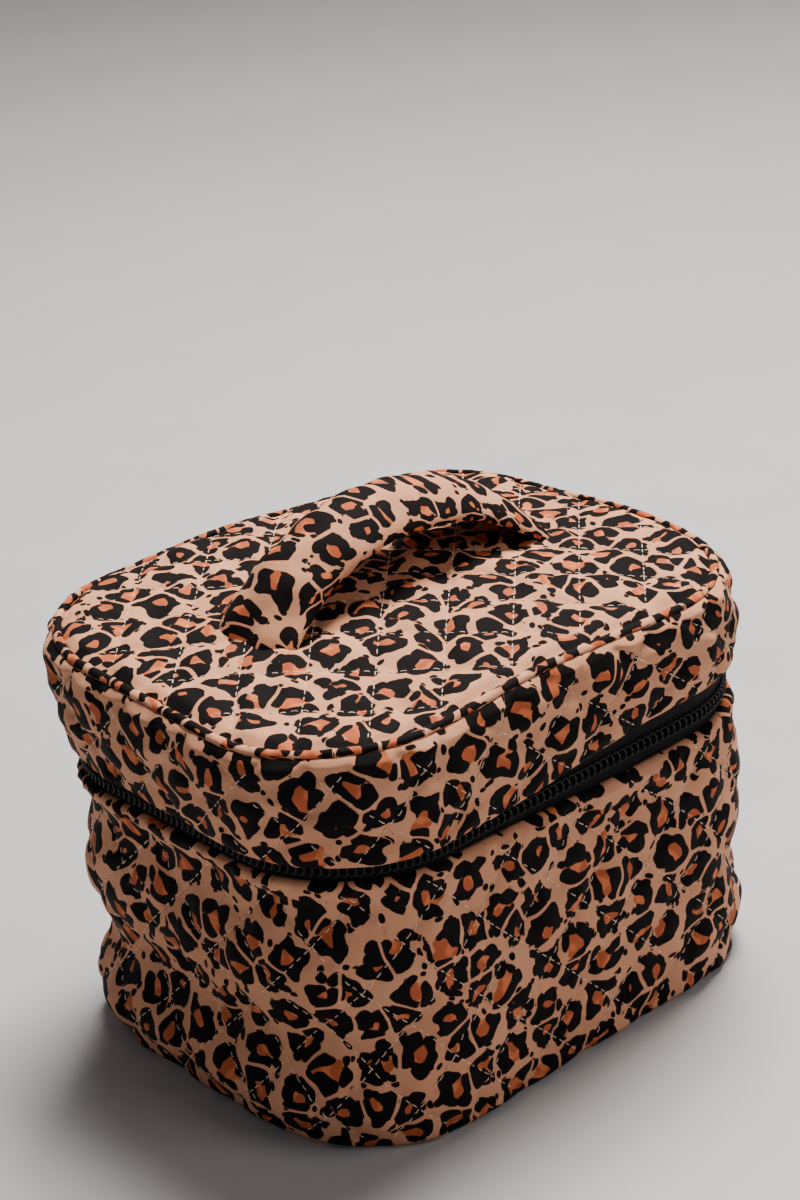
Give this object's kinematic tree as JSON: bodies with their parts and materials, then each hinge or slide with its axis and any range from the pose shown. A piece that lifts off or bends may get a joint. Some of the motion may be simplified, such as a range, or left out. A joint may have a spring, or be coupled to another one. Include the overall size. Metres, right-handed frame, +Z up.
{
  "type": "makeup train case",
  "caption": "Soft quilted box-shaped cosmetics case with a zip-around lid, padded carry strap, piped top edge and divided inside.",
  "frame": {"origin": "centre of the underside, where the case stands", "axes": "+X along the long side, -Y the front, the lid's hinge at +Y, +Z up"},
  "size_m": [0.2544, 0.2, 0.2145],
  "materials": {
    "print_fabric": "quilted smooth woven microfibre, tan ground with black and rust rosettes",
    "piping_fabric": "the same print, wrapped round a cord",
    "strap_fabric": "the same print, unquilted and padded",
    "hinge_fabric": "the same print, folded double",
    "board": "thin flexible board",
    "foam": "sheet foam",
    "binding": "grosgrain binding tape",
    "lining_fabric": "plain woven polyester",
    "zipper_tape": "twill zipper tape",
    "zipper_coil": "nylon coil",
    "mesh": "open knitted mesh",
    "webbing": "woven webbing",
    "slider_metal": "black lacquered cast metal",
    "divider_fabric": "brushed loop fabric over foam",
    "hook_tape": "hook tape"
  },
  "bodies": {
    "base": {"base_quilted_wall": "print_fabric", "base_bottom_panel": "print_fabric", "base_board": "board", "base_wall_foam": "foam", "base_rim_binding": "binding", "base_lining": "lining_fabric", "zipper_tape_lower": "zipper_tape", "zipper_coil_lower": "zipper_coil", "hinge_strip": "hinge_fabric", "divider_long": "divider_fabric", "divider_cross_left": "divider_fabric", "divider_cross_right": "divider_fabric", "divider_hook_tabs": "hook_tape"},
    "lid": {"zipper_tape_upper": "zipper_tape", "zipper_coil_upper": "zipper_coil", "lid_top_panel": "print_fabric", "lid_side_band": "print_fabric", "lid_piping": "piping_fabric", "lid_board": "board", "lid_band_foam": "foam", "lid_rim_binding": "binding", "lid_lining": "lining_fabric", "lid_pocket_binding": "binding", "lid_pocket_mesh": "mesh", "strap_cover": "strap_fabric", "strap_core": "webbing", "strap_patches": "webbing"},
    "slider_front": {"zipper_slider_front": "slider_metal"},
    "pull_front": {"zipper_pull_front": "slider_metal"},
    "slider_rear": {"zipper_slider_rear": "slider_metal"},
    "pull_rear": {"zipper_pull_rear": "slider_metal"}
  },
  "joints": [
    {"name": "lid_hinge", "type": "hinge", "parent": "base", "child": "lid", "pos_m": [0, 0.1, 0.123], "axis": [-1, 0, 0], "range_deg": [0, 110], "deforming": ["hinge_strip"]},
    {"name": "slider_front_slide", "type": "slide", "parent": "base", "child": "slider_front", "axis": [0, -1, 0], "range_m": [0, 0.025]},
    {"name": "slider_rear_slide", "type": "slide", "parent": "base", "child": "slider_rear", "axis": [0, 1, 0], "range_m": [0, 0.025]},
    {"name": "pull_front_swing", "type": "hinge", "parent": "slider_front", "child": "pull_front", "pos_m": [0.127, -0.006, 0.123], "axis": [0, -1, 0], "range_deg": [0, 165]},
    {"name": "pull_rear_swing", "type": "hinge", "parent": "slider_rear", "child": "pull_rear", "pos_m": [0.127, 0.006, 0.123], "axis": [0, -1, 0], "range_deg": [0, 165]}
  ]
}
